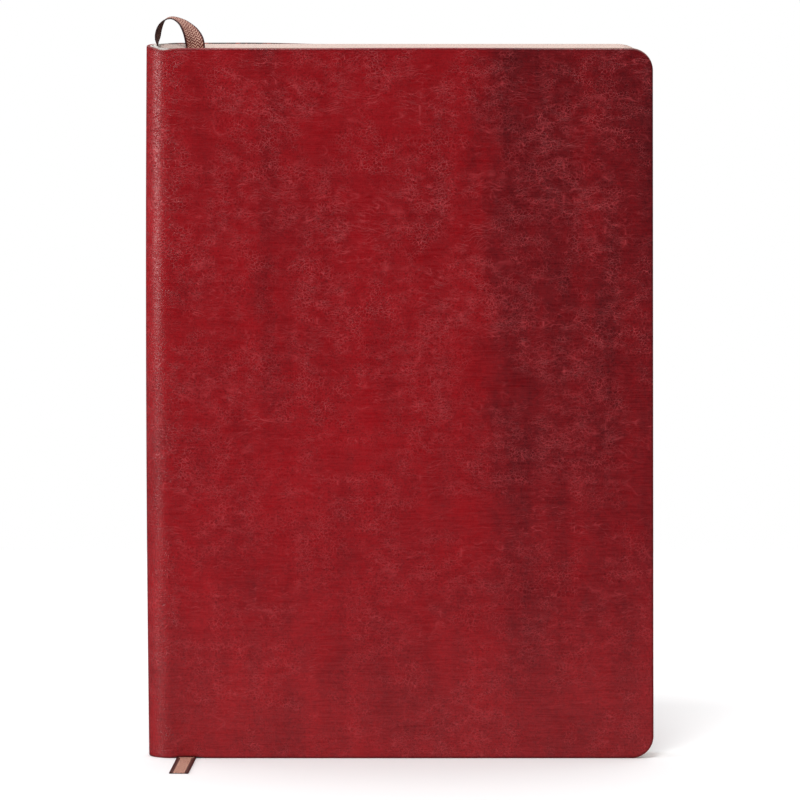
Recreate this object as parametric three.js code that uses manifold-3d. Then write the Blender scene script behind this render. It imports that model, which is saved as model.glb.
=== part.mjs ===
// A bound A5 notebook in a soft red leather cover, standing on its tail edge with the spine at -X.
// Millimetres, +Z up. X is the width, Y the thickness (front cover at -Y), Z the height.
// The origin is the middle of the footprint of the closed book.
import * as THREE from "three";
import { mergeVertices } from "three/addons/utils/BufferGeometryUtils.js";
import Module from "manifold-3d";

const wasm = await Module();
wasm.setup();

// Driving dimensions
const WIDTH = 148;
const HEIGHT = 208.5;
const THICKNESS = 16;
const SPINE_DEPTH = 7;
const CORNER_RADIUS = 6.5;
const SPACING = 0.1;

// Cover layers
const LEATHER_THICKNESS = 1.2;
const BOARD_THICKNESS = 0.5;
const PASTEDOWN_THICKNESS = 0.2;
const FLYLEAF_THICKNESS = 0.2;
const JOINT_GAP = 0.3;
const BOARD_SETBACK = 2;
const PASTEDOWN_SETBACK = 0.8;

// The front cover's tail edge rises towards the spine, to pass over the ribbon on the table,
// and its lining rises more, to clear the ribbon's bend
const COVER_RELIEF = 0.45;
const LINING_RELIEF = 0.8;
const RELIEF_END_X = 60;

// Page block
const SECTION_COUNT = 8;
const RIBBON_SLOT = 0.5;
const PAGE_RECESS = 0.2;
const FOLD_X = -66.5;
const FLYLEAF_FOLD_X = -66.75;
const FOLD_THICKNESS = 0.35;
const FOLD_TAPER_LENGTH = 5;

// Parts inside the spine
const LINER_THICKNESS = 0.5;
const MULL_THICKNESS = 0.25;
const MULL_RECESS = 2;
const GLUE_DEPTH = 2.75;
const GLUE_HALF_WIDTH = 5.3;
const GLUE_FACE_X = -67.15;
const GLUE_RECESS = 0.5;
const THREAD_THICKNESS = 0.3;
const THREAD_END_RECESS = 12;
const BAND_THICKNESS = 0.8;
const BAND_WIDTH = 6;
const BAND_HEIGHT = 4;
const BAND_OUTER_X = -71.65;

// Ribbon
const RIBBON_WIDTH = 5.6;
const RIBBON_THICKNESS = 0.25;

const ARC_SEGMENTS = 5;
const SHELL_SEGMENTS = 12;

const RIGHT = WIDTH / 2;
const LEFT = -WIDTH / 2;
const HALF_THICKNESS = THICKNESS / 2;
const JOINT_X = LEFT + SPINE_DEPTH;
const COVER_LEFT = JOINT_X + JOINT_GAP;

const BOARD_FACE = HALF_THICKNESS - LEATHER_THICKNESS - SPACING;
const PASTEDOWN_FACE = BOARD_FACE - BOARD_THICKNESS - SPACING;
const FLYLEAF_FACE = PASTEDOWN_FACE - PASTEDOWN_THICKNESS - SPACING;
const BLOCK_BACK = FLYLEAF_FACE - FLYLEAF_THICKNESS - SPACING;
const BLOCK_FRONT = -(FLYLEAF_FACE - FLYLEAF_THICKNESS - RIBBON_SLOT);
const SECTION_PITCH = (BLOCK_BACK - BLOCK_FRONT + SPACING) / SECTION_COUNT;
const SECTION_THICKNESS = SECTION_PITCH - SPACING;
const RIBBON_Y = BLOCK_FRONT - RIBBON_SLOT / 2;

const leatherRed = { color: 0x8e1f26, roughness: 0.5, metalness: 0 };
const boardGrey = { color: 0xb9ad9b, roughness: 0.9, metalness: 0 };
const endpaperCream = { color: 0xf1e4d6, roughness: 0.9, metalness: 0 };
const pageCream = { color: 0xf0d9cc, roughness: 0.92, metalness: 0 };
const linerWhite = { color: 0xf4f1ec, roughness: 0.9, metalness: 0 };
const mullWhite = { color: 0xe9e4da, roughness: 1, metalness: 0 };
const glueCream = { color: 0xe8dcc0, roughness: 0.6, metalness: 0 };
const threadWhite = { color: 0xf5f2ea, roughness: 0.9, metalness: 0 };
const ribbonCopper = { color: 0x9c5a4b, roughness: 0.6, metalness: 0 };

function namedMesh(name, geometry, finish) {
  const mesh = new THREE.Mesh(geometry, new THREE.MeshStandardMaterial(finish));
  mesh.name = name;
  return mesh;
}

// A closed geometry with shared corners, as a manifold solid
function toSolid(geometry) {
  const bare = geometry.clone();
  bare.deleteAttribute("normal");
  bare.deleteAttribute("uv");
  const merged = mergeVertices(bare);
  return new wasm.Manifold(new wasm.Mesh({
    numProp: 3,
    vertProperties: new Float32Array(merged.attributes.position.array),
    triVerts: new Uint32Array(merged.index.array),
  }));
}

function toGeometry(solid) {
  const mesh = solid.getMesh();
  const geometry = new THREE.BufferGeometry();
  geometry.setAttribute("position", new THREE.BufferAttribute(mesh.vertProperties, 3));
  geometry.setIndex(new THREE.BufferAttribute(mesh.triVerts, 1));
  geometry.computeVertexNormals();
  return geometry;
}

// A profile in X and Y, standing from one height to another
function standingProfile(shape, bottom, top) {
  const geometry = new THREE.ExtrudeGeometry(shape, {
    depth: top - bottom,
    bevelEnabled: false,
    curveSegments: SHELL_SEGMENTS,
  });
  geometry.translate(0, 0, bottom);
  return geometry;
}

// The outline of a cover or leaf in X and Z, with round corners at the fore-edge.
// relief is how far its tail edge is raised at the joint.
function leafOutline({ left, inset, relief }) {
  const right = RIGHT - inset;
  const top = HEIGHT - inset;
  const radius = CORNER_RADIUS;
  const shape = new THREE.Shape();
  if (relief > 0) {
    shape.moveTo(left, relief * (RELIEF_END_X - left) / (RELIEF_END_X - JOINT_X));
    shape.lineTo(RELIEF_END_X, inset);
  } else {
    shape.moveTo(left, inset);
  }
  shape.lineTo(right - radius, inset);
  shape.absarc(right - radius, inset + radius, radius, -Math.PI / 2, 0);
  shape.lineTo(right, top - radius);
  shape.absarc(right - radius, top - radius, radius, 0, Math.PI / 2);
  shape.lineTo(left, top);
  shape.closePath();
  return shape;
}

// A flat sheet of that outline, between two distances from the middle plane
function sheet(outline, yLow, yHigh) {
  const geometry = new THREE.ExtrudeGeometry(outline, {
    depth: yHigh - yLow,
    bevelEnabled: false,
    curveSegments: ARC_SEGMENTS,
  });
  geometry.rotateX(Math.PI / 2);
  geometry.translate(0, yHigh, 0);
  return geometry;
}

// side is -1 for the front cover and 1 for the back cover
function layerOnSide(side, outline, outerFace, thickness) {
  const innerFace = outerFace - thickness;
  return side < 0 ? sheet(outline, -outerFace, -innerFace) : sheet(outline, innerFace, outerFace);
}

function coverLayers(prefix, side) {
  const coverRelief = side < 0 ? COVER_RELIEF : 0;
  const relief = side < 0 ? LINING_RELIEF : 0;
  const leather = leafOutline({ left: COVER_LEFT, inset: 0, relief: coverRelief });
  const board = leafOutline({ left: JOINT_X + BOARD_SETBACK, inset: SPACING, relief });
  const pastedown = leafOutline({ left: JOINT_X + PASTEDOWN_SETBACK, inset: SPACING, relief });
  const flyleaf = leafOutline({ left: FLYLEAF_FOLD_X, inset: PAGE_RECESS, relief });
  return [
    namedMesh(
      `${prefix}_cover_leather`,
      layerOnSide(side, leather, HALF_THICKNESS, LEATHER_THICKNESS),
      leatherRed,
    ),
    namedMesh(
      `${prefix}_cover_board`,
      layerOnSide(side, board, BOARD_FACE, BOARD_THICKNESS),
      boardGrey,
    ),
    namedMesh(
      `${prefix}_pastedown`,
      layerOnSide(side, pastedown, PASTEDOWN_FACE, PASTEDOWN_THICKNESS),
      endpaperCream,
    ),
    namedMesh(
      `${prefix}_flyleaf`,
      layerOnSide(side, flyleaf, FLYLEAF_FACE, FLYLEAF_THICKNESS),
      endpaperCream,
    ),
  ];
}

// Half an elliptical ring around the spine side, with its open side towards the pages
function spineShell(outerDepth, outerHalfWidth, thickness) {
  const shape = new THREE.Shape();
  shape.absellipse(JOINT_X, 0, outerDepth, outerHalfWidth, Math.PI / 2, Math.PI * 1.5, false, 0);
  shape.lineTo(JOINT_X, -(outerHalfWidth - thickness));
  shape.absellipse(
    JOINT_X,
    0,
    outerDepth - thickness,
    outerHalfWidth - thickness,
    Math.PI * 1.5,
    Math.PI / 2,
    true,
    0,
  );
  shape.closePath();
  return shape;
}

function spineLeather() {
  const shape = spineShell(SPINE_DEPTH, HALF_THICKNESS, LEATHER_THICKNESS);
  return namedMesh("spine_leather", standingProfile(shape, 0, HEIGHT), leatherRed);
}

function spineLiner() {
  const offset = LEATHER_THICKNESS + SPACING;
  const shape = spineShell(SPINE_DEPTH - offset, HALF_THICKNESS - offset, LINER_THICKNESS);
  return namedMesh("spine_liner", standingProfile(shape, SPACING, HEIGHT - SPACING), linerWhite);
}

// Flexible glue that rounds the folded backs of the sections
function blockGlue() {
  const shape = new THREE.Shape();
  shape.absellipse(
    GLUE_FACE_X,
    0,
    GLUE_DEPTH,
    GLUE_HALF_WIDTH,
    Math.PI / 2,
    Math.PI * 1.5,
    false,
    0,
  );
  shape.closePath();
  return namedMesh(
    "block_glue",
    standingProfile(shape, GLUE_RECESS, HEIGHT - GLUE_RECESS),
    glueCream,
  );
}

// Open-weave cloth over the glued back
function spineMull() {
  const depth = GLUE_DEPTH + SPACING + MULL_THICKNESS + (JOINT_X - GLUE_FACE_X);
  const halfWidth = GLUE_HALF_WIDTH + SPACING + MULL_THICKNESS;
  const shape = spineShell(depth, halfWidth, MULL_THICKNESS);
  return namedMesh(
    "spine_mull",
    standingProfile(shape, MULL_RECESS, HEIGHT - MULL_RECESS),
    mullWhite,
  );
}

function sectionBackFace(index) {
  return BLOCK_FRONT + (index + 1) * SECTION_PITCH - SPACING;
}

// A folded section of leaves, pinched towards its fold
function section(index) {
  const back = sectionBackFace(index);
  const front = back - SECTION_THICKNESS;
  const outline = leafOutline({ left: FOLD_X, inset: PAGE_RECESS, relief: 0 });
  const profile = new THREE.Shape();
  profile.moveTo(FOLD_X, back);
  profile.lineTo(FOLD_X, back - FOLD_THICKNESS);
  profile.lineTo(FOLD_X + FOLD_TAPER_LENGTH, front);
  profile.lineTo(RIGHT, front);
  profile.lineTo(RIGHT, back);
  profile.closePath();
  const plate = toSolid(sheet(outline, front - SPACING, back + SPACING));
  const wedge = toSolid(standingProfile(profile, 0, HEIGHT));
  return namedMesh(`section_${index + 1}`, toGeometry(plate.intersect(wedge)), pageCream);
}

function boxBetween(low, high) {
  const size = new THREE.Vector3().subVectors(high, low);
  const centre = new THREE.Vector3().addVectors(low, high).multiplyScalar(0.5);
  const geometry = new THREE.BoxGeometry(size.x, size.y, size.z);
  geometry.translate(centre.x, centre.y, centre.z);
  return geometry;
}

// One thread, up one fold and down the next, linked at the head and tail in turn
function sewingThread() {
  const xLow = FOLD_X - SPACING - THREAD_THICKNESS;
  const xHigh = xLow + THREAD_THICKNESS;
  const bottom = THREAD_END_RECESS;
  const top = HEIGHT - THREAD_END_RECESS;
  const half = THREAD_THICKNESS / 2;
  const foldY = (index) => sectionBackFace(index) - FOLD_THICKNESS / 2;
  let thread = null;
  for (let index = 0; index < SECTION_COUNT; index += 1) {
    const y = foldY(index);
    const strand = toSolid(boxBetween(
      new THREE.Vector3(xLow, y - half, bottom),
      new THREE.Vector3(xHigh, y + half, top),
    ));
    thread = thread ? thread.add(strand) : strand;
    if (index < SECTION_COUNT - 1) {
      const linkTop = index % 2 === 0 ? top : bottom + THREAD_THICKNESS;
      const link = toSolid(boxBetween(
        new THREE.Vector3(xLow, y - half, linkTop - THREAD_THICKNESS),
        new THREE.Vector3(xHigh, foldY(index + 1) + half, linkTop),
      ));
      thread = thread.add(link);
    }
  }
  return namedMesh("sewing_thread", toGeometry(thread), threadWhite);
}

// A woven band with round ends in section, glued behind the page block's head or tail
function endBand(name, bottom) {
  const radius = BAND_THICKNESS / 2;
  const x = BAND_OUTER_X + radius;
  const straight = BAND_WIDTH / 2 - radius;
  const shape = new THREE.Shape();
  shape.absarc(x, straight, radius, 0, Math.PI);
  shape.absarc(x, -straight, radius, Math.PI, Math.PI * 2);
  shape.closePath();
  return namedMesh(name, standingProfile(shape, bottom, bottom + BAND_HEIGHT), linerWhite);
}

// The ribbon's route: each station is a point and the direction of its width there.
// It is glued behind the page block, loops over the head, turns a quarter, runs down
// in front of the first section and lies forward on the table.
const ribbonRoute = [
  { at: [-70.5, 0, 187], across: [0, 1, 0] },
  { at: [-70.5, 0, 208.4], across: [0, 1, 0] },
  { at: [-70.5, 0, 210.6], across: [0.25, 1, 0] },
  { at: [-70.2, 0, 212.8], across: [0.3, 1, 0] },
  { at: [-69.4, 0, 214.8], across: [0.25, 1, 0] },
  { at: [-68.2, 0, 216.1], across: [0.15, 1, 0] },
  { at: [-66.7, 0, 216.6], across: [0.1, 1, 0] },
  { at: [-65.2, -0.4, 216.4], across: [0.2, 1, 0] },
  { at: [-63.7, -1.1, 215.8], across: [0.45, 1, 0] },
  { at: [-62.4, -2.1, 214.9], across: [0.7, 1, 0] },
  { at: [-61.3, -3.2, 213.7], across: [1, 0.8, 0] },
  { at: [-60.4, -4.3, 212.2], across: [1, 0.45, 0] },
  { at: [-59.8, -5.1, 210.6], across: [1, 0.15, 0] },
  { at: [-59.5, RIBBON_Y, 209.1], across: [1, 0, 0] },
  { at: [-59.5, RIBBON_Y, 207], across: [1, 0, 0] },
  { at: [-60.1, RIBBON_Y, 150], across: [1, 0, 0] },
  { at: [-61, RIBBON_Y, 75], across: [1, 0, 0] },
  { at: [-61.9, RIBBON_Y, 4], across: [1, 0, 0] },
  { at: [-62, RIBBON_Y, 0.65], across: [1, 0, 0] },
  { at: [-62.05, RIBBON_Y - 0.45, 0.2], across: [1, -0.03, 0] },
  { at: [-62.25, -9, 0.18], across: [1, -0.06, 0] },
  { at: [-62.85, -20, 0.18], across: [1, -0.06, 0] },
  { at: [-63.6, -33, 0.18], across: [1, -0.06, 0] },
  { at: [-64.25, -44, 0.18], across: [1, -0.06, 0] },
];

// A flat band laid along the stations: a box whose rings are moved to them
function ribbonMarker() {
  const last = ribbonRoute.length - 1;
  const points = ribbonRoute.map((station) => new THREE.Vector3(...station.at));
  const geometry = new THREE.BoxGeometry(RIBBON_WIDTH, RIBBON_THICKNESS, 1, 1, 1, last);
  const position = geometry.attributes.position;
  const frames = points.map((point, index) => {
    const tangent = new THREE.Vector3()
      .subVectors(points[Math.min(index + 1, last)], points[Math.max(index - 1, 0)])
      .normalize();
    const across = new THREE.Vector3(...ribbonRoute[index].across);
    across.addScaledVector(tangent, -across.dot(tangent)).normalize();
    const outward = new THREE.Vector3().crossVectors(tangent, across);
    return { point, across, outward };
  });
  for (let vertex = 0; vertex < position.count; vertex += 1) {
    const frame = frames[Math.round((position.getZ(vertex) + 0.5) * last)];
    const moved = frame.point.clone()
      .addScaledVector(frame.across, position.getX(vertex))
      .addScaledVector(frame.outward, position.getY(vertex));
    position.setXYZ(vertex, moved.x, moved.y, moved.z);
  }
  // Both broad sides are split along the same diagonals, so they stay apart where it twists
  const { index } = geometry;
  const backSide = geometry.groups[3];
  for (let quad = backSide.start; quad < backSide.start + backSide.count; quad += 6) {
    index.setX(quad + 2, index.getX(quad + 4));
    index.setX(quad + 3, index.getX(quad));
  }
  geometry.computeVertexNormals();
  return namedMesh("ribbon_marker", geometry, ribbonCopper);
}

const notebook = new THREE.Group();
notebook.add(...coverLayers("front", -1));
notebook.add(...coverLayers("back", 1));
notebook.add(spineLeather());
notebook.add(spineLiner());
notebook.add(spineMull());
notebook.add(blockGlue());
notebook.add(sewingThread());
for (let index = 0; index < SECTION_COUNT; index += 1) {
  notebook.add(section(index));
}
notebook.add(endBand("headband", HEIGHT - BAND_HEIGHT - PAGE_RECESS));
notebook.add(endBand("tailband", PAGE_RECESS));
notebook.add(ribbonMarker());

export default notebook;
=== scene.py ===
"""A soft red leather notebook standing on a white table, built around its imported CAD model."""

import math

import bmesh
import bpy
import numpy as np
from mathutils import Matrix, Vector


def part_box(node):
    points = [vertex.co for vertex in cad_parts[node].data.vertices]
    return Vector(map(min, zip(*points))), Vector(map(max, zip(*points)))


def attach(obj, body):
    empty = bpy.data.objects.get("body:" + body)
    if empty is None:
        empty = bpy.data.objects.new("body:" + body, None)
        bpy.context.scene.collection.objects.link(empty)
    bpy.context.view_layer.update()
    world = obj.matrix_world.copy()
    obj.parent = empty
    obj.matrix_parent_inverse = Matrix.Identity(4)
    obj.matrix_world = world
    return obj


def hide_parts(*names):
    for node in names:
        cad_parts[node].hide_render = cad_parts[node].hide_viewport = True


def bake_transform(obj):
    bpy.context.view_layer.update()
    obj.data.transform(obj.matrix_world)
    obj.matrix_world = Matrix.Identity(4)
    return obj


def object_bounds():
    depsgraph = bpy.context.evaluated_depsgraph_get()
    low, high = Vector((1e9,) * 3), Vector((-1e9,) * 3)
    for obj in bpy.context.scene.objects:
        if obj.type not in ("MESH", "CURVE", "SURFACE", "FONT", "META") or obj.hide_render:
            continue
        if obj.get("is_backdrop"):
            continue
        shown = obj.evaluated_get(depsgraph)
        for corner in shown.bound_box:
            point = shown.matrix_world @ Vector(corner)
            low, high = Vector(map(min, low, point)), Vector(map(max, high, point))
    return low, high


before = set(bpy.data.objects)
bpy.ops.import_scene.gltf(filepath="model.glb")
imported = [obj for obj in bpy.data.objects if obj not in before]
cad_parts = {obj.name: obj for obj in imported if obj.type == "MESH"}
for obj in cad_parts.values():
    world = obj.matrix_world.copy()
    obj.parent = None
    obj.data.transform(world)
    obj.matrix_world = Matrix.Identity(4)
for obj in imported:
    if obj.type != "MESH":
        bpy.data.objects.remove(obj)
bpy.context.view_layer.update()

MM = 0.001
CAMERA_LENS = 1500
CAMERA_SENSOR = 36
CAMERA_ELEVATION = math.radians(6.6)
FRAME_WIDTH = 233.6 * MM
CAMERA_AIM = Vector((0.17, 0, 104.4)) * MM
FLOOR_FRONT = -0.2
FLOOR_BACK = 0.5

# Sizes that the CAD model states
spine_low, spine_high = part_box("spine_leather")
cover_low, cover_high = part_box("front_cover_leather")
pastedown_low, pastedown_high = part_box("front_pastedown")
flyleaf_low, flyleaf_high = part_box("front_flyleaf")
SPINE_X = spine_low.x
JOINT_X = spine_high.x
SPINE_DEPTH = JOINT_X - SPINE_X
HALF = spine_high.y
HEIGHT = spine_high.z
RIGHT = cover_high.x
LEATHER = cover_high.y - cover_low.y

CORNER = 6.5 * MM
EDGE_ROUND = 0.4 * MM
RIBBON_TAIL_X = -62 * MM
COVER_LIFT = 0.4 * MM
LINING_RELIEF = 0.8 * MM
RELIEF_END_X = 60 * MM
RELIEF_HEIGHT = 30 * MM
PAGE_INSET = 0.15 * MM
PAGE_SETBACK = 1.2 * MM
PAGE_CORNER = 9 * MM
LEAF_BEND_END = JOINT_X + 6 * MM

LEAVES_PER_SECTION = 12
LEAF_THICKNESS = 0.092 * MM
FOLD_DEPTH = 2.9 * MM
FOLD_HALF_WIDTH = 6.2 * MM

RIBBON_WIDTH = 5.6 * MM
RIBBON_THICKNESS = 0.25 * MM
# These two are in millimetres, as the ribbon's route is
RIBBON_Y = -5.35
RIBBON_TAIL_START = 255

random = np.random.default_rng(7)


# Camera

def make_camera():
    camera = bpy.data.objects.new("camera", bpy.data.cameras.new("camera"))
    bpy.context.scene.collection.objects.link(camera)
    camera.data.lens = CAMERA_LENS
    camera.data.sensor_width = CAMERA_SENSOR
    camera.data.clip_end = 50
    distance = FRAME_WIDTH * CAMERA_LENS / CAMERA_SENSOR
    back = Vector((0, -math.cos(CAMERA_ELEVATION), math.sin(CAMERA_ELEVATION)))
    camera.location = CAMERA_AIM + back * distance
    camera.rotation_euler = (-back).to_track_quat("-Z", "Y").to_euler()
    bpy.context.scene.camera = camera


# Mesh helpers

def make_object(name, points, faces, material, sharp_degrees=40):
    """A smooth-shaded mesh object, with its faces turned outward."""
    mesh = bpy.data.meshes.new(name)
    mesh.from_pydata([tuple(p) for p in points], [], faces)
    work = bmesh.new()
    work.from_mesh(mesh)
    bmesh.ops.recalc_face_normals(work, faces=work.faces)
    work.to_mesh(mesh)
    work.free()
    mesh.shade_smooth()
    mesh.set_sharp_from_angle(angle=math.radians(sharp_degrees))
    mesh.materials.append(material)
    made = bpy.data.objects.new(name, mesh)
    bpy.context.scene.collection.objects.link(made)
    return made


def set_vector(made, name, values):
    attribute = made.data.attributes.new(name, "FLOAT_VECTOR", "POINT")
    attribute.data.foreach_set("vector", np.asarray(values, np.float32).ravel())


def set_float(made, name, values):
    attribute = made.data.attributes.new(name, "FLOAT", "POINT")
    attribute.data.foreach_set("value", np.asarray(values, np.float32).ravel())


def perimeter(columns, rows):
    """The grid's boundary nodes in order, each once."""
    loop = [(i, 0) for i in range(columns)]
    loop += [(columns - 1, j) for j in range(1, rows)]
    loop += [(i, rows - 1) for i in range(columns - 2, -1, -1)]
    loop += [(0, j) for j in range(rows - 2, 0, -1)]
    return loop


def shell(place, profile):
    """A closed shell of two grids and a rim. place(inset, depth) gives a grid of points, and the profile's
    first pair is the outer face, its last the inner face and those between them the rim.
    Returns points, faces and each point's row of the profile and grid node."""
    outer = place(*profile[0])
    inner = place(*profile[-1])
    columns, rows = outer.shape[:2]
    loop = perimeter(columns, rows)
    points = [outer.reshape(-1, 3), inner.reshape(-1, 3)]
    for inset, depth in profile[1:-1]:
        ring = place(inset, depth)
        points.append(np.array([ring[i, j] for i, j in loop]))
    count = columns * rows
    faces = []
    for i in range(columns - 1):
        for j in range(rows - 1):
            a = i * rows + j
            quad = (a, a + 1, a + rows + 1, a + rows)
            faces.append(quad)
            faces.append(tuple(count + v for v in reversed(quad)))
    rings = [[i * rows + j for i, j in loop]]
    start = 2 * count
    for _ in profile[1:-1]:
        rings.append([start + n for n in range(len(loop))])
        start += len(loop)
    rings.append([count + i * rows + j for i, j in loop])
    for near, far in zip(rings, rings[1:]):
        for n in range(len(loop)):
            m = (n + 1) % len(loop)
            faces.append((near[n], near[m], far[m], far[n]))
    return np.concatenate(points), faces, loop


def corner_shares(steps, rows):
    """Grid shares for the rows of a sheet: 1 at the corners' ends and 0 between the corners,
    and where each row lies along the straight middle, from 0 to 1."""
    ramp = np.linspace(1, 0, steps + 1)
    share = np.concatenate([ramp, np.zeros(rows - 1), ramp[::-1]])
    along = np.concatenate([np.zeros(steps + 1), np.linspace(0, 1, rows + 1)[1:-1], np.ones(steps + 1)])
    return share, along


def outline_grid(straight, inset, low, high, steps, rows, corner=CORNER):
    """X and Z of a sheet's grid with round corners at the fore-edge. straight holds the columns left
    of the corners, its last one where they start, and inset moves the outline inward."""
    reach = np.concatenate([np.zeros(len(straight)), np.linspace(0, 1, steps + 1)[1:]])
    base_x = np.concatenate([straight, np.full(steps, straight[-1])])
    share, along = corner_shares(steps, rows)
    a, b = np.meshgrid(reach, share, indexing="ij")
    radius = corner - inset
    x = base_x[:, None] + radius * a * np.sqrt(1 - b * b / 2)
    rise = radius * b * np.sqrt(1 - a * a / 2)
    t = along[None, :]
    bottom = low + corner - rise
    top = high - corner + rise
    z = np.where(t == 0, bottom, np.where(t == 1, top, low + corner + t * (high - low - 2 * corner)))
    return x, z


def smoothstep(values, low, high):
    t = np.clip((values - low) / (high - low), 0, 1)
    return t * t * (3 - 2 * t)


# Leather

SPINE_COLUMNS = 18
COVER_STEP = 1.6 * MM
LEATHER_CORNER_STEPS = 8
LEATHER_ROWS = 124
BACK_CORNER = 9 * MM
BACK_DROP = 0.55 * MM
BACK_CORNER_DROP = 0.45 * MM
BACK_INSET = 1.25 * MM


def leather_path(side):
    """The outer line of one half of the hide in X and Y, from the middle of the spine to the cover's
    corner zone: points, outward normals and the distance along the hide."""
    turn = np.linspace(0, math.pi / 2, SPINE_COLUMNS + 1)
    arc = np.stack([JOINT_X - SPINE_DEPTH * np.cos(turn), side * HALF * np.sin(turn)], 1)
    arc_normal = np.stack([-np.cos(turn) / SPINE_DEPTH, side * np.sin(turn) / HALF], 1)
    corner_x = RIGHT - (CORNER if side < 0 else BACK_CORNER)
    near = JOINT_X + np.arange(1, 15) * 0.25 * MM
    flat_x = np.concatenate([near, np.arange(near[-1] + COVER_STEP, corner_x - MM, COVER_STEP)])
    flat_x = np.append(flat_x, corner_x)
    flat = np.stack([flat_x, np.full(len(flat_x), side * HALF)], 1)
    flat_normal = np.tile([0.0, float(side)], (len(flat_x), 1))
    points = np.concatenate([arc, flat])
    normals = np.concatenate([arc_normal, flat_normal])
    normals /= np.linalg.norm(normals, axis=1)[:, None]
    length = np.concatenate([[0], np.cumsum(np.linalg.norm(np.diff(points, axis=0), axis=1))])
    return points, normals, length


def uneven_edges(side, x, z, along):
    """The small faults of a hand-cut hide: new heights for its points."""
    if side < 0:
        lift = COVER_LIFT * np.exp(-(((x - RIBBON_TAIL_X) / (4.6 * MM)) ** 4))
        z = z + lift * np.clip(1 - z / RELIEF_HEIGHT, 0, 1)
    head = smoothstep(z, HEIGHT - 12 * MM, HEIGHT)
    dip = 0.7 * MM * np.exp(-(((along - 9 * MM) / (3.2 * MM)) ** 2))
    if side > 0:
        dip = dip * 0.3 + BACK_DROP * smoothstep(x, -45 * MM, -5 * MM)
        dip = dip + BACK_CORNER_DROP * smoothstep(x, 48 * MM, 66 * MM)
    wave = 0.1 * MM * np.sin(x * 62 + 2.2 * side)
    return z - head * (dip + wave * smoothstep(x, -60 * MM, -30 * MM))


def spine_swell(x, z):
    """How far the soft book leans: its spine swells at two thirds of its height, and the
    fore-edge leans out at the tail."""
    share = z / HEIGHT
    swell = 0.85 - 2.65 * share + 2.05 * share**2
    lean = 0.25 - 0.38 * share
    at_spine = 1 - smoothstep(x, JOINT_X - MM, JOINT_X + 14 * MM)
    return MM * (swell * at_spine + lean * smoothstep(x, 0, RIGHT))


def leather_half(name, side, material):
    """Half of the hide: one cover and its half of the rounded spine, with round edges."""
    points, normals, length = leather_path(side)
    columns = len(points)
    straight = points[:, 0]
    corner = CORNER if side < 0 else BACK_CORNER
    wave = np.random.default_rng(11 + side).uniform(0, 2 * math.pi, 6)

    def grid(inset):
        """X and Z of the hide's nodes, and how far along the hide each lies."""
        x, z = outline_grid(straight, inset, 0, HEIGHT, LEATHER_CORNER_STEPS, LEATHER_ROWS, corner)
        column_length = np.concatenate([length, np.full(x.shape[0] - columns, length[-1])])
        return x, z, column_length[:, None] + np.maximum(0, x - straight[-1])

    def place(inset, depth):
        x, z, along = grid(inset)
        extra = x.shape[0] - columns
        normal = np.concatenate([normals, np.tile(normals[-1], (extra, 1))])
        path_y = np.concatenate([points[:, 1], np.full(extra, points[-1, 1])])
        z = uneven_edges(side, x, z, along)
        skin = 1 - depth / LEATHER
        swell = 0.16 * MM * (
            np.sin(along * 47 + wave[0] + 1.4 * np.sin(z * 31 + wave[1]))
            * np.sin(z * 39 + wave[2] + 1.2 * np.sin(along * 53 + wave[3]))
        )
        swell = (swell + 0.16 * MM) * smoothstep(along, 12 * MM, 30 * MM) * skin
        px = x + normal[:, 0][:, None] * (swell - depth) + spine_swell(x, z)
        py = path_y[:, None] + normal[:, 1][:, None] * (swell - depth)
        return np.stack([px, py, z], -1)

    quarter = np.radians([22.5, 45, 67.5, 90])
    first = [(EDGE_ROUND * (1 - math.sin(q)), EDGE_ROUND * (1 - math.cos(q))) for q in quarter]
    second = [(inset, LEATHER - depth) for inset, depth in reversed(first)]
    profile = [(EDGE_ROUND, 0)] + first + second + [(EDGE_ROUND, LEATHER)]
    verts, faces, loop = shell(place, profile)
    made = make_object(name, verts, faces, material)

    x, z, along = grid(0)
    rows = x.shape[1]
    hide_x = JOINT_X - length[SPINE_COLUMNS] - side * along
    corner_x = np.maximum(0, x - straight[-1])
    corner_z = np.maximum(0, np.maximum(corner - z, z - (HEIGHT - corner)))
    edge = np.minimum(np.minimum(z, HEIGHT - z), RIGHT - x)
    edge = np.where((corner_x > 0) & (corner_z > 0), corner - np.hypot(corner_x, corner_z), edge)
    grid_hide = np.stack([hide_x, z, np.zeros_like(x)], -1) / MM
    grid_edge = edge / MM
    rim_hide = np.array([grid_hide[i, j] for i, j in loop])
    rings = len(profile) - 2
    hide = np.concatenate([grid_hide.reshape(-1, 3)] * 2 + [rim_hide] * rings)
    on_seam = np.array([1.0 if i == 0 and 0 < j < rows - 1 else 0.0 for i, j in loop])
    rim_edge = np.array([grid_edge[i, j] for i, j in loop]) * on_seam
    edges = np.concatenate([grid_edge.ravel()] * 2 + [rim_edge] * rings)
    rim_depth = [np.full(len(loop), depth / LEATHER) for _, depth in profile[1:-1]]
    set_vector(made, "hide", hide)
    set_float(made, "edge", edges)
    set_float(made, "flesh", np.concatenate([np.zeros(x.size), np.ones(x.size)] + rim_depth))
    return made


# Paper

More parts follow.
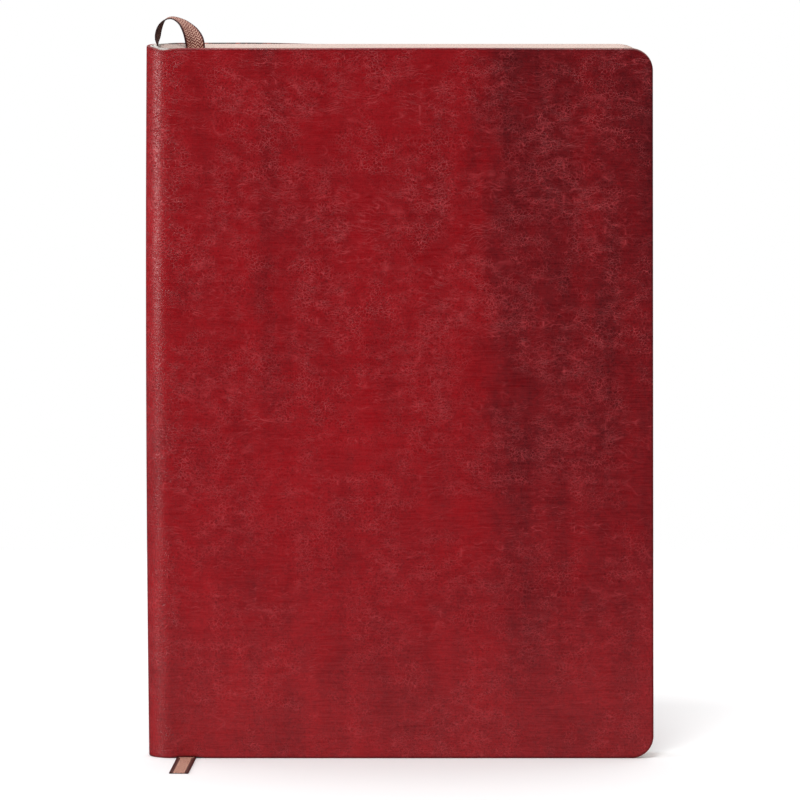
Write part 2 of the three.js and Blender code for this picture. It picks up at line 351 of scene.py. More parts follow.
def paper_sheet(name, left, right, faces_y, head, lift, material):
    """A flat sheet with round fore-edge corners, between two distances from the middle plane. head
    is how far it stays below the cover's height."""
    near = np.arange(left, JOINT_X + 8 * MM, 0.45 * MM)
    straight = np.concatenate([near, np.linspace(near[-1], right - PAGE_CORNER, 9)[1:]])

    def place(extra, depth):
        x, z = outline_grid(straight, extra, PAGE_INSET, HEIGHT - head, 5, 24, PAGE_CORNER)
        if lift:
            rise = LINING_RELIEF * np.clip((RELIEF_END_X - x) / (RELIEF_END_X - JOINT_X), 0, 1)
            z = z + rise * np.clip(1 - z / RELIEF_HEIGHT, 0, 1)
        y = faces_y[0] + (faces_y[1] - faces_y[0]) * depth + np.zeros_like(x)
        return np.stack([x, y, z], -1)

    points, faces, _ = shell(place, [(0, 0), (0, 1)])
    made = make_object(name, points, faces, material)
    set_vector(made, "rest", points / MM)
    return made


def fold_x(y):
    """How far the folded back of the block reaches at one distance from the middle plane."""
    return JOINT_X - FOLD_DEPTH * math.sqrt(max(0.0, 1 - (y / FOLD_HALF_WIDTH) ** 2))


BEND_COLUMNS = 9
FOLD_COLUMNS = 4
LEAF_CORNER_STEPS = 4
LEAF_ROWS = 6


def folded_sheet(y_front, y_back, back_of_fold, inset):
    """One sheet folded in two: points and faces of a thin closed solid."""
    radius = (y_back - y_front) / 2
    middle = (y_back + y_front) / 2
    start = back_of_fold + radius
    near = start + (LEAF_BEND_END + MM - start) * np.linspace(0, 1, BEND_COLUMNS)
    straight = np.concatenate([near, [0.0, RIGHT - PAGE_SETBACK - inset - PAGE_CORNER]])

    def place(extra, depth):
        x, z = outline_grid(
            straight, extra, PAGE_INSET, HEIGHT - PAGE_INSET, LEAF_CORNER_STEPS, LEAF_ROWS, PAGE_CORNER
        )
        y = np.zeros_like(x)
        offset = LEAF_THICKNESS * depth
        front = np.stack([x, y + y_front + offset, z], -1)[::-1]
        back = np.stack([x, y + y_back - offset, z], -1)
        turn = np.linspace(-math.pi / 2, math.pi / 2, FOLD_COLUMNS + 2)[1:-1]
        reach = max(radius - offset, 0.004 * MM)
        arc_x = (start - reach * np.cos(turn))[:, None] + np.zeros((1, x.shape[1]))
        arc_y = (middle + reach * np.sin(turn))[:, None] + np.zeros((1, x.shape[1]))
        arc_z = np.tile(z[0], (FOLD_COLUMNS, 1))
        arc = np.stack([arc_x, arc_y, arc_z], -1)
        return np.concatenate([front, arc, back])

    points, faces, _ = shell(place, [(0, 0), (0, 1)])
    return points, faces


def section_leaves(index, material):
    """A section of folded sheets, one inside the other."""
    low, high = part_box(f"section_{index}")
    front = low.y - 0.04 * MM
    back = high.y + 0.04 * MM
    middle = (front + back) / 2
    pitch = (back - front) / LEAVES_PER_SECTION
    points, faces, count = [], [], 0
    for sheet in range(LEAVES_PER_SECTION // 2):
        y_front = front + sheet * pitch
        y_back = back - sheet * pitch
        inset = random.uniform(-0.06, 0.06) * MM
        new_points, new_faces = folded_sheet(y_front, y_back, fold_x(middle) + sheet * pitch, inset)
        points.append(new_points)
        faces += [tuple(count + v for v in face) for face in new_faces]
        count += len(new_points)
    points = np.concatenate(points)
    made = make_object(f"section_{index}_leaves", points, faces, material)
    set_vector(made, "rest", points / MM)
    return made


# Ribbon

RIBBON_ROUTE = [
    # point in millimetres, and the direction of the ribbon's width there
    ((-70.5, 0, 187), (0, 1, 0)),
    ((-70.5, 0, 208.4), (0, 1, 0)),
    ((-70.5, 0, 210.6), (0.25, 1, 0)),
    ((-70.2, 0, 212.8), (0.3, 1, 0)),
    ((-69.4, 0, 214.8), (0.25, 1, 0)),
    ((-68.2, 0, 216.1), (0.15, 1, 0)),
    ((-66.7, 0, 216.6), (0.1, 1, 0)),
    ((-65.2, -0.4, 216.4), (0.2, 1, 0)),
    ((-63.7, -1.1, 215.8), (0.45, 1, 0)),
    ((-62.4, -2.1, 214.9), (0.7, 1, 0)),
    ((-61.3, -3.2, 213.7), (1, 0.8, 0)),
    ((-60.4, -4.3, 212.2), (1, 0.45, 0)),
    ((-59.8, -5.1, 210.6), (1, 0.15, 0)),
    ((-59.5, RIBBON_Y, 209.1), (1, 0, 0)),
    ((-59.5, RIBBON_Y, 207), (1, 0, 0)),
    ((-60.1, RIBBON_Y, 150), (1, 0, 0)),
    ((-61, RIBBON_Y, 75), (1, 0, 0)),
    ((-61.9, RIBBON_Y, 4), (1, 0, 0)),
    ((-62.0, RIBBON_Y, 0.65), (1, 0, 0)),
    ((-62.05, RIBBON_Y - 0.45, 0.2), (1, -0.03, 0)),
    ((-62.25, -9, 0.18), (1, -0.06, 0)),
    ((-62.85, -20, 0.18), (1, -0.06, 0)),
    ((-63.6, -33, 0.18), (1, -0.06, 0)),
    ((-64.25, -44, 0.18), (1, -0.06, 0)),
]
RIBBON_STEP = 0.5 * MM
RIBBON_COLUMNS = 12


def smooth_route(points, values, step):
    """A smooth curve through the points, and the values carried along it, at even steps."""
    points = np.array(points, float)
    values = np.array(values, float)
    both = np.concatenate([points, values], 1)
    gaps = np.sqrt(np.linalg.norm(np.diff(points, axis=0), axis=1))
    knots = np.concatenate([[0], np.cumsum(gaps)])
    slopes = np.gradient(both, knots, axis=0)
    fine = []
    for n in range(len(points) - 1):
        count = max(2, int(round(np.linalg.norm(points[n + 1] - points[n]) / step)))
        span = knots[n + 1] - knots[n]
        for t in np.linspace(0, 1, count, endpoint=False):
            h00 = 2 * t**3 - 3 * t**2 + 1
            h10 = t**3 - 2 * t**2 + t
            h01 = -2 * t**3 + 3 * t**2
            h11 = t**3 - t**2
            ends = h00 * both[n] + h01 * both[n + 1]
            fine.append(ends + span * (h10 * slopes[n] + h11 * slopes[n + 1]))
    fine.append(both[-1])
    fine = np.array(fine)
    return fine[:, :3], fine[:, 3:]


def ribbon(material):
    """The woven marker, a flat band with thicker selvedges that turns a quarter in its loop."""
    points, across = smooth_route(
        [np.array(p) * MM for p, _ in RIBBON_ROUTE], [w for _, w in RIBBON_ROUTE], RIBBON_STEP
    )
    tangent = np.gradient(points, axis=0)
    tangent /= np.linalg.norm(tangent, axis=1)[:, None]
    across = across - (across * tangent).sum(1)[:, None] * tangent
    across /= np.linalg.norm(across, axis=1)[:, None]
    outward = np.cross(tangent, across)
    share = np.linspace(-1, 1, RIBBON_COLUMNS + 1)
    from_middle = np.abs(share)
    thinned = 1 - 0.8 * smoothstep(from_middle, 0.93, 1.0)
    selvedge = 1 + 0.35 * smoothstep(from_middle, 0.72, 0.86) * thinned
    travelled = np.concatenate([[0], np.cumsum(np.linalg.norm(np.diff(points, axis=0), axis=1))])

    def place(inset, depth):
        thick = RIBBON_THICKNESS / 2 * selvedge * (1 - 2 * depth)
        base = points[None, :, :] + across[None, :, :] * (share[:, None, None] * RIBBON_WIDTH / 2)
        return base + outward[None, :, :] * thick[:, None, None]

    verts, faces, loop = shell(place, [(0, 0), (0, 1)])
    made = make_object("ribbon", verts, faces, material, sharp_degrees=70)
    u, v = np.meshgrid(share * RIBBON_WIDTH / 2 / MM, travelled / MM, indexing="ij")
    outer = np.stack([u, v, np.zeros_like(u)], -1).reshape(-1, 3)
    inner = np.stack([u, v, np.ones_like(u)], -1).reshape(-1, 3)
    set_vector(made, "weave", np.concatenate([outer, inner]))
    path = [tuple(p) for p in points[::3]] + [tuple(points[-1])]
    return made, path, float(travelled[-1])


# Materials

def new_material(name):
    material = bpy.data.materials.new(name)
    material.use_nodes = True
    tree = material.node_tree
    shader = tree.nodes["Principled BSDF"]
    return material, tree, shader


def add(tree, kind, values=(), **settings):
    """A node with its settings and its inputs, each a number, a colour or another node's socket."""
    node = tree.nodes.new(kind)
    for key, value in settings.items():
        setattr(node, key, value)
    for key, value in dict(values).items():
        if isinstance(value, bpy.types.NodeSocket):
            tree.links.new(value, node.inputs[key])
        else:
            node.inputs[key].default_value = value
    return node


def math_node(tree, operation, *values):
    return add(tree, "ShaderNodeMath", enumerate(values), operation=operation).outputs[0]


def scaled(tree, vector, x, y, z=1.0):
    node = add(tree, "ShaderNodeVectorMath", {0: vector, 1: (x, y, z)}, operation="MULTIPLY")
    return node.outputs[0]


def stored(tree, name):
    """A node that reads the attribute of this name, which a piece carries."""
    return add(tree, "ShaderNodeAttribute", attribute_name=name)


def own_place(tree):
    """A piece's own coordinates in millimetres."""
    return scaled(tree, add(tree, "ShaderNodeTexCoord").outputs["Object"], 1000, 1000, 1000)


def product(tree, first, *others):
    """The product of numbers and sockets."""
    for other in others:
        first = math_node(tree, "MULTIPLY", first, other)
    return first


def noise(tree, vector, detail=3.0, roughness=0.55, seed=0.0):
    values = {"Vector": vector, "W": seed, "Scale": 1.0, "Detail": detail, "Roughness": roughness}
    return add(tree, "ShaderNodeTexNoise", values, noise_dimensions="4D").outputs["Fac"]


def remap(tree, value, low, high, to_low=0.0, to_high=1.0):
    values = {0: value, 1: low, 2: high, 3: to_low, 4: to_high}
    return add(tree, "ShaderNodeMapRange", values, interpolation_type="SMOOTHSTEP").outputs[0]


def ridges(tree, value, sharpness):
    """Thin lines where a noise crosses its middle."""
    away = math_node(tree, "ABSOLUTE", math_node(tree, "SUBTRACT", value, 0.5))
    near = math_node(tree, "SUBTRACT", 1.0, product(tree, away, 2.0))
    return math_node(tree, "POWER", near, sharpness)


def mix(tree, factor, a, b):
    return add(tree, "ShaderNodeMix", {0: factor, 6: a, 7: b}, data_type="RGBA").outputs[2]


def ramp(tree, value, stops):
    node = add(tree, "ShaderNodeValToRGB", {0: value})
    elements = node.color_ramp.elements
    elements[0].position, elements[0].color = stops[0][0], (*stops[0][1], 1)
    elements[1].position, elements[1].color = stops[-1][0], (*stops[-1][1], 1)
    for position, colour in stops[1:-1]:
        elements.new(position).color = (*colour, 1)
    return node.outputs[0]


def srgb(red, green, blue):
    """Linear colour of an 8-bit display colour."""

    def linear(value):
        share = value / 255
        return share / 12.92 if share <= 0.04045 else ((share + 0.055) / 1.055) ** 2.4

    return linear(red), linear(green), linear(blue)


def bump(tree, shader, height, distance, socket="Normal"):
    node = add(tree, "ShaderNodeBump", {"Height": height, "Distance": distance, "Strength": 1.0})
    tree.links.new(node.outputs[0], shader.inputs[socket])


def soft_band(tree, value, middle, half_width, softness):
    """1 inside a band of this width and 0 outside it, with soft sides."""
    away = math_node(tree, "ABSOLUTE", math_node(tree, "SUBTRACT", value, middle))
    return remap(tree, away, half_width + softness, half_width - softness)


def weighted_sum(tree, start, terms):
    """A start value and, for each term, its distance from its middle times its weight."""
    total = start
    for value, middle, weight in terms:
        shifted = math_node(tree, "SUBTRACT", value, middle) if middle else value
        total = math_node(tree, "ADD", product(tree, shifted, weight), total)
    return total


def dye_tone(tree, place, across, up):
    """How dark the rubbed dye is: clouds and upright streaks over the whole hide, and on the
    front cover a dark third beside the fore-edge with a redder streak in it."""
    clouds = noise(tree, scaled(tree, place, 1 / 22, 1 / 36), detail=4, roughness=0.6)
    bands = noise(tree, scaled(tree, place, 1 / 9, 1 / 110), detail=3, seed=3.0)
    mottle = noise(tree, scaled(tree, place, 1 / 5, 1 / 7), detail=4, roughness=0.65, seed=7.0)
    grain = noise(tree, scaled(tree, place, 1 / 1.1, 1 / 0.9), detail=3, roughness=0.7, seed=8.0)
    ragged = noise(tree, scaled(tree, place, 1 / 13, 1 / 30), detail=5, roughness=0.7, seed=17.0)
    wavy = weighted_sum(tree, across, [(ragged, 0.5, 34.0)])
    third = product(tree, remap(tree, wavy, 18.0, 33.0), remap(tree, up, 0.0, 190.0, 0.22, 1.0))
    streak = product(tree, soft_band(tree, wavy, 56.0, 2.5, 3.0), remap(tree, up, 90.0, 150.0))
    thin = product(tree, soft_band(tree, wavy, -38.0, 2.5, 3.5), remap(tree, up, 60.0, 120.0))
    return weighted_sum(
        tree,
        0.31,
        [
            (remap(tree, up, 200.0, 10.0), 0.0, 0.22),
            (third, 0.0, 0.52),
            (streak, 0.0, -0.16),
            (thin, 0.0, 0.2),
            (clouds, 0.5, 0.65),
            (bands, 0.5, 0.5),
            (mottle, 0.5, 0.55),
            (grain, 0.5, 0.75),
        ],
    ), mottle


def crease_lines(tree, place, across, up):
    """Fine creases: flat ones about a millimetre apart in some patches, pebbled grain in others,
    and a few long curved ones."""
    bent = noise(tree, scaled(tree, place, 1 / 12, 1 / 12), detail=3, seed=21.0)
    bent = weighted_sum(tree, up, [(bent, 0.5, 9.0)])
    lifted = add(tree, "ShaderNodeCombineXYZ", {0: across, 1: bent}).outputs[0]
    flat_lines = ridges(tree, noise(tree, scaled(tree, lifted, 1 / 6, 1 / 1.1), detail=0, seed=5.0), 20)
    cross_lines = ridges(tree, noise(tree, scaled(tree, lifted, 1 / 1.7, 1 / 1.3), detail=0, seed=6.0), 20)
    flat_lines = math_node(tree, "MAXIMUM", flat_lines, product(tree, cross_lines, 0.6))
    flat_patch = remap(tree, noise(tree, scaled(tree, place, 1 / 30, 1 / 17), detail=3, seed=12.0), 0.36, 0.6)
    pebbles = add(
        tree,
        "ShaderNodeTexVoronoi",
        {"Vector": scaled(tree, lifted, 1 / 1.0, 1 / 0.75), "Scale": 1.0, "Randomness": 1.0},
        feature="DISTANCE_TO_EDGE",
    ).outputs["Distance"]
    grain_lines = remap(tree, pebbles, 0.1, 0.0)
    patches = noise(tree, scaled(tree, place, 1 / 16, 1 / 20), detail=3, seed=14.0)
    grain_patch = remap(tree, patches, 0.34, 0.58)
    long_lines = ridges(tree, noise(tree, scaled(tree, lifted, 1 / 30, 1 / 9), detail=1, seed=40.0), 60)
    broken = remap(tree, noise(tree, scaled(tree, place, 1 / 8, 1 / 6), detail=2, seed=41.0), 0.4, 0.58)
    creases = math_node(
        tree, "MAXIMUM", product(tree, flat_lines, flat_patch), product(tree, grain_lines, grain_patch, 0.95)
    )
    return math_node(tree, "MAXIMUM", creases, product(tree, long_lines, broken, 0.7)), grain_patch


CREASE_HEIGHT = 0.06 * MM


def leather_material():
    material, tree, shader = new_material("burnished_leather")
    place = stored(tree, "hide").outputs["Vector"]
    edge = stored(tree, "edge").outputs["Fac"]
    flesh = stored(tree, "flesh").outputs["Fac"]
    axes = add(tree, "ShaderNodeSeparateXYZ", {0: place})
    across, up = axes.outputs[0], axes.outputs[1]

    tone, mottle = dye_tone(tree, place, across, up)
    colour = ramp(
        tree,
        tone,
        [
            (0.0, srgb(175, 20, 30)),
            (0.32, srgb(152, 13, 22)),
            (0.62, srgb(127, 12, 20)),
            (1.0, srgb(82, 10, 17)),
        ],
    )
    creases, grain_patch = crease_lines(tree, place, across, up)
    uneven = noise(tree, scaled(tree, place, 1 / 5, 1 / 3.5), detail=3, seed=31.0)
    strength = product(tree, remap(tree, uneven, 0.34, 0.64, 0.2, 1.0), remap(tree, up, 20.0, 170.0, 0.55, 1.0))
    lines = product(tree, creases, strength)
    hairs = ridges(tree, noise(tree, scaled(tree, place, 1 / 14, 1 / 0.7), detail=2, seed=33.0), 6)
    pale = math_node(tree, "MAXIMUM", product(tree, lines, 0.7), product(tree, hairs, 0.12))
    colour = mix(tree, pale, colour, (*srgb(214, 80, 86), 1))
    fine = noise(tree, scaled(tree, place, 1 / 0.7, 1 / 0.6), detail=2, seed=30.0)
    speck = remap(tree, fine, 0.5, 0.68)
    dark_speck = product(tree, speck, remap(tree, grain_patch, 0.0, 1.0, 0.1, 0.45))
    colour = mix(tree, dark_speck, colour, (*srgb(80, 11, 16), 1))
    # Paler towards the tail: a painted reflection of the white table
    colour = mix(tree, remap(tree, up, 60.0, 5.0, 0.0, 0.02), colour, (*srgb(220, 130, 126), 1))

    # Painted highlight: pale streaks along the creases at the front of the spine, towards the head, where light
    # glints off the crinkled leather
    wear_and_painted_highlight = product(
        tree,
        soft_band(tree, across, -71.4, 1.1, 1.3),
        remap(tree, up, 100.0, 180.0),
        remap(tree, mottle, 0.35, 0.62, 0.3, 1.0),
    )
    painted_highlight_streaks = ridges(tree, noise(tree, scaled(tree, place, 1 / 2.2, 1 / 0.75), detail=1, seed=60.0), 14)
    colour = mix(tree, product(tree, wear_and_painted_highlight, painted_highlight_streaks, 0.5), colour, (*srgb(236, 150, 150), 1))

    # The cut edge: rubbed on the front cover; nearly black beside the spine on the back cover, painted shade of
    # the gap behind the pages
    rim = remap(tree, edge, 0.4, 0.0)
    colour = mix(tree, product(tree, rim, 0.45), colour, (*srgb(88, 16, 19), 1))
    inside = remap(tree, flesh, 0.55, 0.95)
    colour = mix(tree, inside, colour, (*srgb(168, 92, 78), 1))
    # Painted shade: the back cover's edge beside the spine turns near black
    near_spine = product(tree, remap(tree, across, -140.0, -115.0), remap(tree, across, -84.0, -90.0))
    patchy = remap(tree, noise(tree, scaled(tree, place, 1 / 4, 1 / 4), detail=2, seed=50.0), 0.36, 0.5)
    painted_gap_shade = product(tree, near_spine, patchy, remap(tree, edge, 0.3, 0.1))
    colour = mix(tree, painted_gap_shade, colour, (*srgb(30, 20, 17), 1))
    tree.links.new(colour, shader.inputs["Base Color"])

    rough = weighted_sum(tree, 0.28, [(mottle, 0.0, 0.12), (inside, 0.0, 0.4)])
    tree.links.new(rough, shader.inputs["Roughness"])
    from_spine = math_node(tree, "ABSOLUTE", math_node(tree, "ADD", across, 78.0))
    at_spine = remap(tree, from_spine, 18.0, 9.0, 1.0, 2.6)
    height = weighted_sum(
        tree, 0.0, [(mottle, 0.0, 0.4), (lines, 0.0, 1.0), (speck, 0.0, -0.35), (fine, 0.0, 0.5)]
    )
    bump(tree, shader, product(tree, height, at_spine), CREASE_HEIGHT)
    gloss = remap(tree, at_spine, 1.0, 2.6, 0.1, 1.8)
    bump(tree, shader, product(tree, height, gloss), CREASE_HEIGHT, socket="Coat Normal")
    shader.inputs["Specular IOR Level"].default_value = 0.2
    shader.inputs["Coat Weight"].default_value = 0.22
    shader.inputs["Coat Roughness"].default_value = 0.16
    return material


def paper_material(name, colour):
    material, tree, shader = new_material(name)
    place = stored(tree, "rest").outputs["Vector"]
    fibre = noise(tree, scaled(tree, place, 1 / 0.5, 1 / 0.5, 1 / 0.5), detail=4)
    cloud = noise(tree, scaled(tree, place, 1 / 9, 1 / 9, 1 / 9), detail=2, seed=4.0)
    dark = tuple(c * 0.91 for c in colour)
    share = weighted_sum(tree, 0.0, [(fibre, 0.0, 0.75), (cloud, 0.0, 0.25)])
    shade = mix(tree, remap(tree, share, 0.35, 0.65), (*dark, 1), (*colour, 1))
    tree.links.new(shade, shader.inputs["Base Color"])
    shader.inputs["Roughness"].default_value = 0.88
    shader.inputs["Specular IOR Level"].default_value = 0.25
    bump(tree, shader, fibre, 0.02 * MM)
    return material


def cloth_material(name, colour, thread, attribute=None):
    """Plain woven cloth with threads this far apart, in millimetres."""
    material, tree, shader = new_material(name)
    place = stored(tree, attribute).outputs["Vector"] if attribute else own_place(tree)
    axes = add(tree, "ShaderNodeSeparateXYZ", {0: place})
    flat = math_node(tree, "ADD", axes.outputs[0], axes.outputs[1])
    turn = 2 * math.pi / thread
    warp = math_node(tree, "SINE", product(tree, flat, turn))
    weft = math_node(tree, "SINE", product(tree, axes.outputs[2], turn))
    share = remap(tree, product(tree, warp, weft), -1.0, 1.0)
    dark = tuple(c * 0.7 for c in colour)
    tree.links.new(mix(tree, share, (*dark, 1), (*colour, 1)), shader.inputs["Base Color"])
    shader.inputs["Roughness"].default_value = 0.9
    shader.inputs["Sheen Weight"].default_value = 0.2
    bump(tree, shader, share, 0.05 * MM)
    return material


def ribbon_material():
    """Copper-brown ribbon: dark selvedges, a herringbone of pale weft on its face, with more pale weft on the
    upturned tail as painted light, and a darker reverse that is painted shade."""
    material, tree, shader = new_material("woven_ribbon")
    place = stored(tree, "weave").outputs["Vector"]
    axes = add(tree, "ShaderNodeSeparateXYZ", {0: place})
    across, along, shaded_reverse = axes.outputs[0], axes.outputs[1], axes.outputs[2]
    from_middle = math_node(tree, "ABSOLUTE", across)
    zigzag = product(tree, math_node(tree, "PINGPONG", across, 0.75), 1.1)
    slanted = math_node(tree, "ADD", along, zigzag)
    twill = math_node(tree, "SINE", product(tree, slanted, 2 * math.pi / 0.85))
    weft = math_node(tree, "SINE", product(tree, along, 2 * math.pi / 0.3))
    wear_and_painted_highlight = noise(tree, scaled(tree, place, 1 / 0.5, 1 / 0.5), detail=2)
    # On the upturned tail the pale weft is painted stronger: painted light from above
    tail = remap(tree, along, RIBBON_TAIL_START, RIBBON_TAIL_START + 4)
    weft_and_painted_light = weighted_sum(tree, twill, [(weft, 0.0, 0.25), (wear_and_painted_highlight, 0.5, 3.0), (tail, 0.0, 0.35)])
    weft_and_painted_light = remap(tree, weft_and_painted_light, 0.2, 1.0, 0.04, 1.0)
    centre = remap(tree, from_middle, 2.45, 2.1)
    # The reverse gets fewer pale threads and a darker ground: painted shade
    shown = product(tree, weft_and_painted_light, centre, weighted_sum(tree, 1.0, [(shaded_reverse, 0.0, -0.75)]))
    ground = mix(tree, shaded_reverse, (*srgb(108, 38, 32), 1), (*srgb(66, 20, 19), 1))
    colour = mix(tree, shown, ground, (*srgb(244, 196, 172), 1))
    border = remap(tree, weighted_sum(tree, from_middle, [(tail, 0.0, 0.7)]), 2.25, 2.45)
    colour = mix(tree, product(tree, border, 0.9), colour, (*srgb(54, 18, 17), 1))
    tree.links.new(colour, shader.inputs["Base Color"])
    shader.inputs["Roughness"].default_value = 0.55
    shader.inputs["Specular IOR Level"].default_value = 0.3
    height = weighted_sum(tree, 0.0, [(twill, 0.0, 1.0), (weft, 0.0, 0.4)])
    bump(tree, shader, height, 0.03 * MM)
    return material


def speckled_material(name, colour, roughness, grain):
    """Card or glue: a colour broken up by a fine grain of this size, in millimetres."""
    material, tree, shader = new_material(name)
    place = own_place(tree)
    fleck = noise(tree, scaled(tree, place, 1 / grain, 1 / grain, 1 / grain), detail=5, roughness=0.7)
    dark = tuple(c * 0.65 for c in colour)
    shade = mix(tree, remap(tree, fleck, 0.35, 0.62), (*dark, 1), (*colour, 1))
    tree.links.new(shade, shader.inputs["Base Color"])
    shader.inputs["Roughness"].default_value = roughness
    bump(tree, shader, fleck, 0.03 * MM)
    return material


def floor_material():
    material, tree, shader = new_material("white_table")
    place = add(tree, "ShaderNodeTexCoord").outputs["Object"]
    faint = noise(tree, scaled(tree, place, 6, 6, 6), detail=2)
    colour = mix(tree, faint, (0.93, 0.93, 0.935, 1), (0.96, 0.96, 0.96, 1))
    tree.links.new(colour, shader.inputs["Base Color"])
    shader.inputs["Roughness"].default_value = 0.7
    return material


# Smaller woven pieces

def tube_faces(steps, sides):
    """The faces of a tube with closed ends, made of rings of this many sides."""
    faces = [tuple(range(sides)), tuple(steps * sides + k for k in range(sides))]
    for n in range(steps):
        for k in range(sides):
            m = (k + 1) % sides
            faces.append((n * sides + k, n * sides + m, (n + 1) * sides + m, (n + 1) * sides + k))
    return faces


def end_band(name, middle_z, material):
    """A white roll of thread sewn over the end of the block's back, ribbed by its turns."""
    low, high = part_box("headband")
    radius = 0.55 * MM
    reach = 3.3 * MM
    steps, sides = 96, 14
    centre_x = (low.x + high.x) / 2
    points = []
    for n in range(steps + 1):
        share = n / steps * 2 - 1
        y = share * reach
        x = centre_x + 0.7 * MM * share * share
        rib = 1 + 0.13 * abs(math.sin(n / steps * math.pi * 12))
        close = math.sqrt(max(0.0, 1 - abs(share) ** 8)) + 0.02
        for k in range(sides):
            angle = 2 * math.pi * k / sides
            r = radius * rib * close
            points.append((x + r * math.cos(angle), y, middle_z + 1.15 * r * math.sin(angle)))
    return make_object(name, points, tube_faces(steps, sides), material)


def spine_lining(material):
    """A thin white cloth that lines the inside of the spine."""
    low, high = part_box("spine_liner")
    depth_out = JOINT_X - low.x
    half_out = high.y
    thick = 0.4 * MM
    turn = np.linspace(-math.radians(86), math.radians(86), 49)
    heights = np.linspace(low.z, high.z, 60)

    def place(inset, depth):
        d = depth_out - thick * depth
        h = half_out - thick * depth
        x = (JOINT_X - d * np.cos(turn))[:, None] + np.zeros((1, len(heights)))
        y = (h * np.sin(turn))[:, None] + np.zeros((1, len(heights)))
        z = np.tile(heights, (len(turn), 1))
        return np.stack([x, y, z], -1)

    points, faces, _ = shell(place, [(0, 0), (0, 1)])
    made = make_object("spine_lining", points, faces, material)
    set_vector(made, "rest", points / MM)
    return made


def round_strand(route, radius, sides=8):
    """Points and faces of a thin round strand along a list of points."""
    route = np.array(route, float)
    tangent = np.gradient(route, axis=0)
    tangent /= np.linalg.norm(tangent, axis=1)[:, None]
    side = np.cross(tangent, [0.31, 0.2, 0.93])
    side /= np.linalg.norm(side, axis=1)[:, None]
    up = np.cross(tangent, side)
    points = []
    for p, s, u in zip(route, side, up):
        for k in range(sides):
            angle = 2 * math.pi * k / sides
            points.append(p + radius * (math.cos(angle) * s + math.sin(angle) * u))
    return points, tube_faces(len(route) - 1, sides)


def sewing_thread(material):
    """One thread, up the inside of one fold and down the next, linked at the ends."""
    low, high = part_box("sewing_thread")
    route = []
    for index in range(1, 9):
        section_low, section_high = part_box(f"section_{index}")
        y = (section_low.y + section_high.y) / 2
        x = fold_x(y) + 0.85 * MM
        rise = np.linspace(low.z, high.z, 40)
        if index % 2 == 0:
            rise = rise[::-1]
        wave = 0.06 * MM * np.sin(rise * 900)
        route += [(x, y + w, z) for z, w in zip(rise, wave)]
    points, faces = round_strand(route, 0.17 * MM)
    return make_object("thread", points, faces, material)


# Stage

def softbox(name, location, aim, width, height, power):
    light = bpy.data.lights.new(name, "AREA")
    light.shape = "RECTANGLE"
    light.size = width
    light.size_y = height
    light.energy = power
    made = bpy.data.objects.new(name, light)
    made.location = location
    made.rotation_euler = (Vector(aim) - Vector(location)).to_track_quat("-Z", "Y").to_euler()
    bpy.context.scene.collection.objects.link(made)
    return made


def make_stage():
    corners = [(-3, FLOOR_FRONT, 0), (3, FLOOR_FRONT, 0), (3, FLOOR_BACK, 0), (-3, FLOOR_BACK, 0)]
    floor = make_object("table_top", corners, [(0, 1, 2, 3)], floor_material())
    floor.location.z = -0.05 * MM
    floor.visible_glossy = False
    floor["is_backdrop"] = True
    softbox("key_light", (-0.13, -1.15, 2.0), (0, 0, 0.1), 0.4, 0.4, 19)
    softbox("spine_light", (-0.64, -0.235, 0.175), (-0.07, 0, 0.175), 0.37, 0.12, 1.7)
    world = bpy.data.worlds.new("studio")
    world.use_nodes = True
    tree = world.node_tree
    background = tree.nodes["Background"]
    direction = add(tree, "ShaderNodeTexCoord").outputs["Generated"]
    axes = add(tree, "ShaderNodeSeparateXYZ", {0: direction})
    overhead = remap(tree, axes.outputs[2], 0.3, 0.85, 0.03, 1.15)
    behind = product(
        tree, remap(tree, axes.outputs[1], 0.0, 0.6, 0.0, 0.5), remap(tree, axes.outputs[2], 0.02, 0.2)
    )
    sky = math_node(tree, "ADD", overhead, behind)
    seen = add(tree, "ShaderNodeLightPath").outputs["Is Camera Ray"]
    grey = add(tree, "ShaderNodeCombineXYZ", {0: sky, 1: sky, 2: sky}).outputs[0]
    tree.links.new(mix(tree, seen, grey, (1.0, 1.0, 1.0, 1)), background.inputs["Color"])
    background.inputs["Strength"].default_value = 1.0
    bpy.context.scene.world = world
    bpy.context.scene.view_settings.view_transform = "Standard"


# Putting it together

make_camera()

marker, marker_path, marker_length = ribbon(ribbon_material())
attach(marker, "spine")
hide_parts("ribbon_marker")

leather = leather_material()
endpaper = paper_material("cream_endpaper", srgb(226, 202, 192))
pages = paper_material("cream_pages", srgb(226, 202, 192))
white_cloth = cloth_material("white_lining", srgb(244, 241, 236), 0.4, "rest")

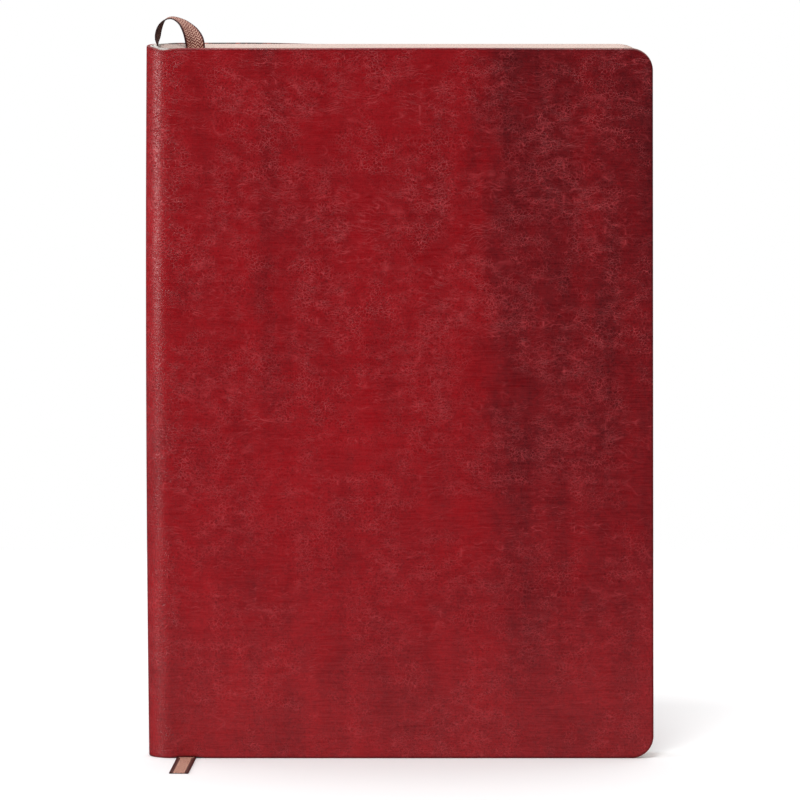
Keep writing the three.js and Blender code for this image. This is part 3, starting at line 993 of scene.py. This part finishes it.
for side, prefix in ((-1, "front"), (1, "back")):
    skin = leather_half(f"{prefix}_leather", side, leather)
    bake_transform(skin)
    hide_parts(f"{prefix}_cover_leather", "spine_leather")

    paste_low, paste_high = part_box(f"{prefix}_pastedown")
    faces_y = (paste_low.y, paste_high.y) if side < 0 else (paste_high.y, paste_low.y)
    right = RIGHT - (0.6 * MM if side < 0 else BACK_INSET)
    head = PAGE_INSET if side < 0 else BACK_INSET
    lining = paper_sheet(f"{prefix}_endpaper", JOINT_X - 0.9 * MM, right, faces_y, head, side < 0, endpaper)
    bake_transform(lining)
    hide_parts(f"{prefix}_pastedown")

    fly_low, fly_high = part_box(f"{prefix}_flyleaf")
    faces_y = (fly_low.y, fly_high.y) if side < 0 else (fly_high.y, fly_low.y)
    leaf = paper_sheet(
        f"{prefix}_leaf", JOINT_X - 1.1 * MM, RIGHT - PAGE_SETBACK, faces_y, PAGE_INSET, side < 0, endpaper
    )
    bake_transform(leaf)
    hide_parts(f"{prefix}_flyleaf")

for index in range(1, 9):
    leaves = section_leaves(index, pages)
    if index == 1:
        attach(leaves, "spine")
    else:
        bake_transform(leaves)
    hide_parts(f"section_{index}")

liner = spine_lining(white_cloth)
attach(liner, "spine")
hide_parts("spine_liner")

thread_cotton = speckled_material("band_thread", srgb(246, 243, 236), 0.8, 0.3)
for name in ("headband", "tailband"):
    low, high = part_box(name)
    middle = high.z - 0.3 * MM if name == "headband" else low.z + 0.6 * MM
    band = end_band(f"{name}_roll", middle, thread_cotton)
    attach(band, "spine")
    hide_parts(name)

sewing = sewing_thread(thread_cotton)
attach(sewing, "spine")
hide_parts("sewing_thread")

card = speckled_material("card", srgb(205, 186, 166), 0.9, 0.6)
board_low, board_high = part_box("back_cover_board")
board = paper_sheet(
    "back_board", board_low.x, RIGHT - BACK_INSET, (board_high.y, board_low.y), BACK_INSET, False, card
)
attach(board, "back_cover")
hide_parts("back_cover_board")

carried = {
    "front_cover_board": card,
    "block_glue": speckled_material("binding_glue", srgb(232, 218, 190), 0.55, 1.5),
    "spine_mull": cloth_material("mull_gauze", srgb(236, 230, 216), 0.9),
}
for name, material in carried.items():
    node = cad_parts[name]
    node.data.materials.clear()
    node.data.materials.append(material)

make_stage()

low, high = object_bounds()
